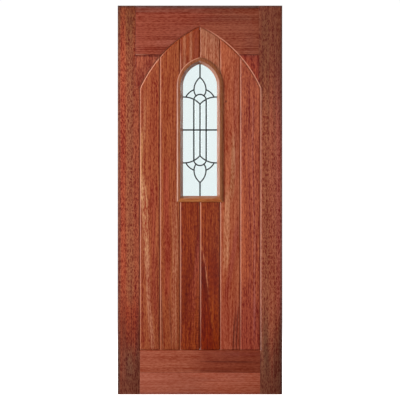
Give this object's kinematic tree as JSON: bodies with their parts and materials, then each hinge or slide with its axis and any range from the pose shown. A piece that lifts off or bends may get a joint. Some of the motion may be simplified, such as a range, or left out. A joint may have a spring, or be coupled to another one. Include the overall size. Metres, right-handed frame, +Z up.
{
  "type": "boarded front door",
  "caption": "Hardwood front door leaf: V-jointed boards in a pointed-arch field, with a lancet window of leaded glass held by moulded glazing beads.",
  "frame": {"origin": "middle of the hinge edge: mid height and mid thickness of the leaf's left edge, seen from the front", "axes": "+X across the leaf from the hinge edge to the lock edge, +Z up, front face towards -Y"},
  "size_m": [0.838, 0.06, 1.981],
  "materials": {
    "hinge_stile_wood": "satin",
    "lock_stile_wood": "satin",
    "top_rail_wood": "satin",
    "spandrel_left_wood": "satin",
    "spandrel_right_wood": "satin",
    "bottom_rail_upper_plank_wood": "satin",
    "bottom_rail_lower_plank_wood": "satin",
    "board_1_wood": "satin",
    "board_2_wood": "satin",
    "board_3_below_window_wood": "satin",
    "board_3_above_window_wood": "satin",
    "board_4_below_window_wood": "satin",
    "board_4_above_window_wood": "satin",
    "board_5_wood": "satin",
    "board_6_wood": "satin",
    "bead_wood": "satin",
    "lead": "dull lead grey",
    "clear_glass": "clear, polished",
    "textured_glass": "clear, stippled"
  },
  "bodies": {
    "root": {"hinge_stile": "hinge_stile_wood", "lock_stile": "lock_stile_wood", "top_rail": "top_rail_wood", "spandrel_left": "spandrel_left_wood", "spandrel_right": "spandrel_right_wood", "bottom_rail_upper_plank": "bottom_rail_upper_plank_wood", "bottom_rail_lower_plank": "bottom_rail_lower_plank_wood", "board_1": "board_1_wood", "board_2": "board_2_wood", "board_3_below_window": "board_3_below_window_wood", "board_3_above_window": "board_3_above_window_wood", "board_4_below_window": "board_4_below_window_wood", "board_4_above_window": "board_4_above_window_wood", "board_5": "board_5_wood", "board_6": "board_6_wood", "front_bead_left": "bead_wood", "front_bead_right": "bead_wood", "front_bead_sill": "bead_wood", "front_bead_arch_left": "bead_wood", "front_bead_arch_right": "bead_wood", "back_bead_left": "bead_wood", "back_bead_right": "bead_wood", "back_bead_sill": "bead_wood", "back_bead_arch_left": "bead_wood", "back_bead_arch_right": "bead_wood", "lead_came": "lead", "glass_upper_cup": "textured_glass", "glass_upper_bud": "textured_glass", "glass_upper_petal_left": "textured_glass", "glass_upper_petal_right": "textured_glass", "glass_upper_corner_left": "textured_glass", "glass_upper_corner_right": "textured_glass", "glass_upper_pane_1": "clear_glass", "glass_upper_pane_2": "clear_glass", "glass_upper_pane_3": "clear_glass", "glass_upper_pane_4": "clear_glass", "glass_lower_cup": "textured_glass", "glass_lower_bud": "textured_glass", "glass_lower_petal_left": "textured_glass", "glass_lower_petal_right": "textured_glass", "glass_lower_corner_left": "textured_glass", "glass_lower_corner_right": "textured_glass", "glass_lower_pane_1": "clear_glass", "glass_lower_pane_2": "clear_glass", "glass_lower_pane_3": "clear_glass", "glass_lower_pane_4": "clear_glass"}
  },
  "joints": []
}
